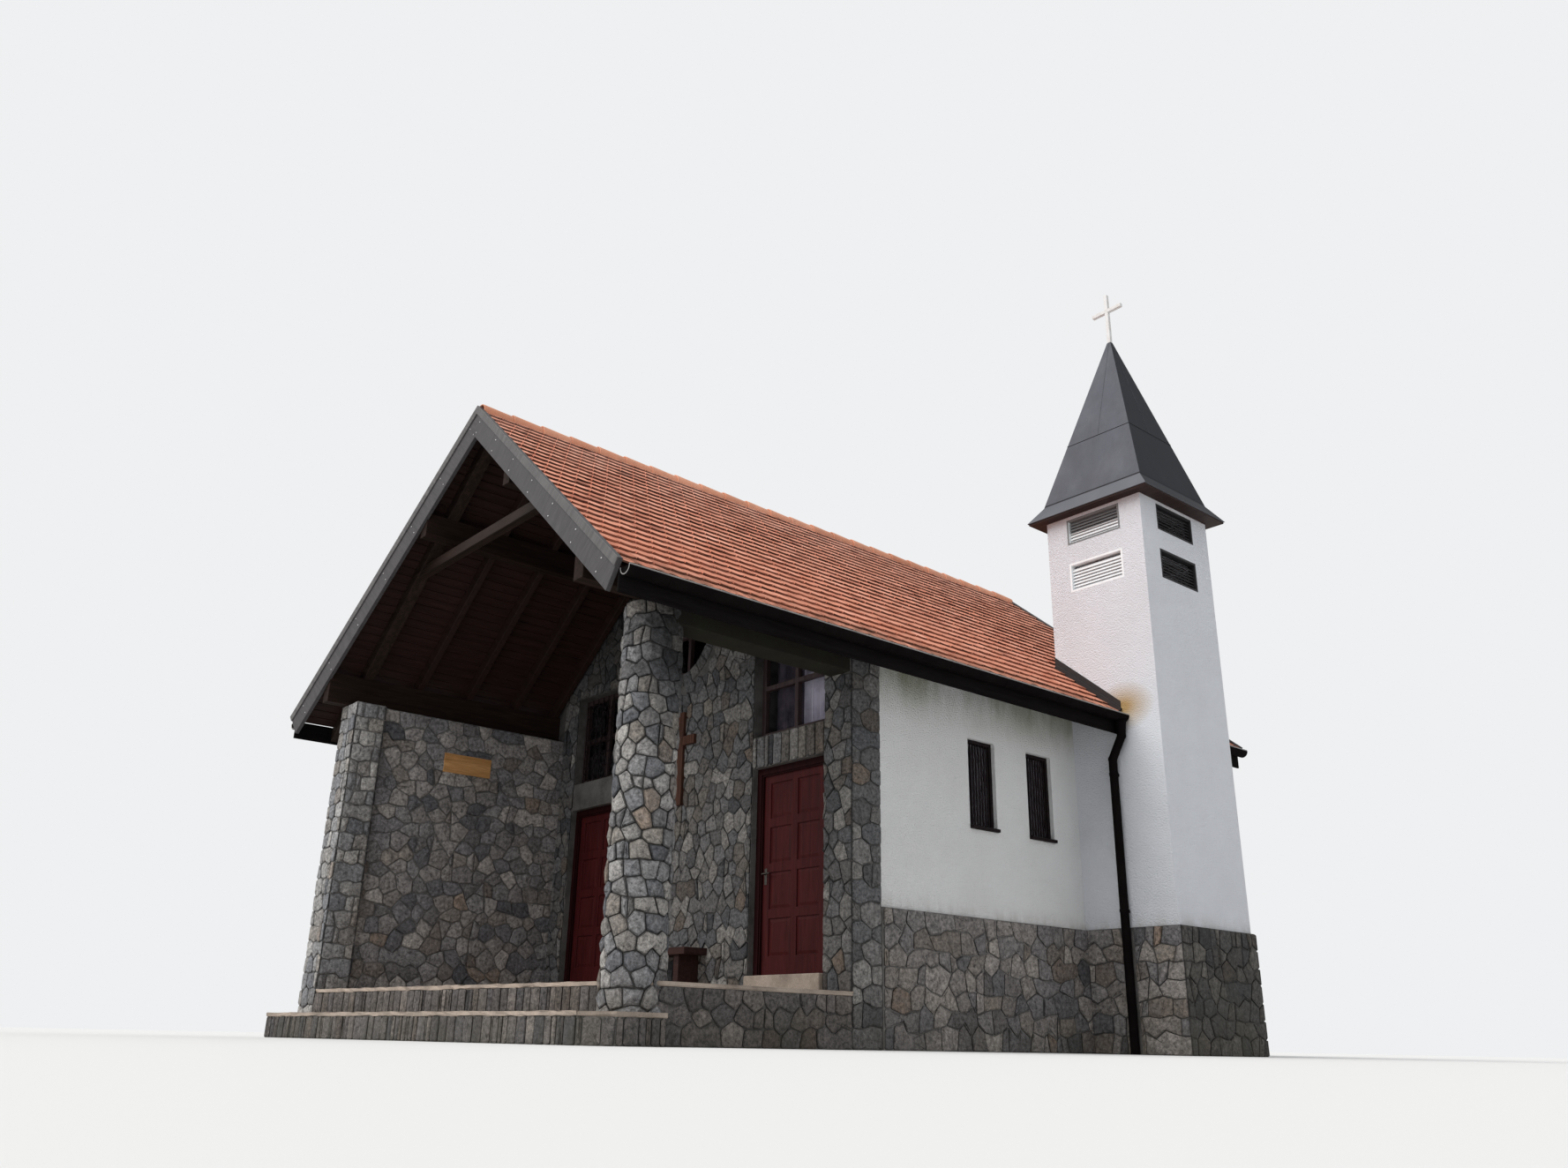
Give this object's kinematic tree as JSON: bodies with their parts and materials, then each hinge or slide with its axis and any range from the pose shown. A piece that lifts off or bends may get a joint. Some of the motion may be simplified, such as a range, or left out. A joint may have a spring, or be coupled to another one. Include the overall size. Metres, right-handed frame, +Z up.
{
  "type": "small chapel",
  "caption": "Small gabled chapel of rubble stone and white plaster with an open porch, panelled doors and a slim bell tower under a flared spire.",
  "frame": {"origin": "on the ground, under the ridge, at the front wall; the ridge line lies over the Y axis", "axes": "-Y towards the visitor in front of the porch, +Y along the nave, +X towards the tower, +Z up"},
  "size_m": [8.355, 9.9188, 10.11],
  "materials": {
    "grey_boards": "dark grey paint",
    "frame_timber": "red-brown stain",
    "handle_metal": "dull, worn plating",
    "door_timber": "red-brown varnish",
    "concrete": "smooth, weathered concrete",
    "brown_sheet": "semi-gloss brown paint",
    "dark_timber": "dark stain",
    "rubble_stone": "rough split faces in lime mortar",
    "ochre_timber": "varnish",
    "bench_timber": "red-brown varnish",
    "light_timber": "clear stain",
    "plaster": "rough white render with a green tinge",
    "roof_tile": "matt fired clay",
    "roof_boarding": "stained boards",
    "dark_steel": "dark paint",
    "sill_sheet": "dark paint",
    "spire_sheet": "weathered grey sheet",
    "white_steel": "white paint",
    "soffit_boards": "dark red-brown stain",
    "louvre_white": "white paint",
    "window_glass": "dark pane"
  },
  "bodies": {
    "chapel": {"barge_boards": "grey_boards", "door_frames": "frame_timber", "door_lintels": "concrete", "door_sills": "concrete", "downpipes": "brown_sheet", "eave_blocking": "dark_timber", "fascia_boards": "grey_boards", "front_gable_centre": "rubble_stone", "front_gable_left": "rubble_stone", "front_gable_right": "rubble_stone", "front_wall": "rubble_stone", "front_window_frames": "frame_timber", "gutters": "brown_sheet", "lower_step": "rubble_stone", "nave_floor": "concrete", "nave_plinth": "rubble_stone", "plaque": "ochre_timber", "porch_base": "rubble_stone", "porch_beam": "concrete", "porch_bench": "bench_timber", "porch_pier": "rubble_stone", "porch_pillar": "rubble_stone", "porch_slab": "concrete", "porch_truss": "light_timber", "porch_wall": "rubble_stone", "purlins": "dark_timber", "rafters": "dark_timber", "rear_wall": "plaster", "ridge_tiles": "roof_tile", "roof_boards": "roof_boarding", "roof_tiles_left": "roof_tile", "roof_tiles_right": "roof_tile", "side_window_frames": "dark_steel", "side_window_sills": "sill_sheet", "spire": "spire_sheet", "spire_cross": "white_steel", "spire_soffit": "soffit_boards", "tower_belfry": "plaster", "tower_flashing": "spire_sheet", "tower_louvres": "louvre_white", "tower_plinth": "rubble_stone", "tower_shaft": "plaster", "verge_trims": "grey_boards", "wall_cross": "dark_timber", "wall_left": "plaster", "wall_plates": "dark_timber", "wall_right": "plaster", "window_glass": "window_glass"},
    "door_left": {"door_leaf_left": "door_timber", "door_handles_left": "handle_metal"},
    "door_right": {"door_leaf_right": "door_timber", "door_handles_right": "handle_metal"}
  },
  "joints": [
    {"name": "left_door_hinge", "type": "hinge", "parent": "chapel", "child": "door_left", "pos_m": [-2.277, -0.025, 1.8], "axis": [0, 0, 1], "range_deg": [0, 90]},
    {"name": "right_door_hinge", "type": "hinge", "parent": "chapel", "child": "door_right", "pos_m": [2.577, -0.025, 1.8], "axis": [0, 0, -1], "range_deg": [0, 90]}
  ]
}
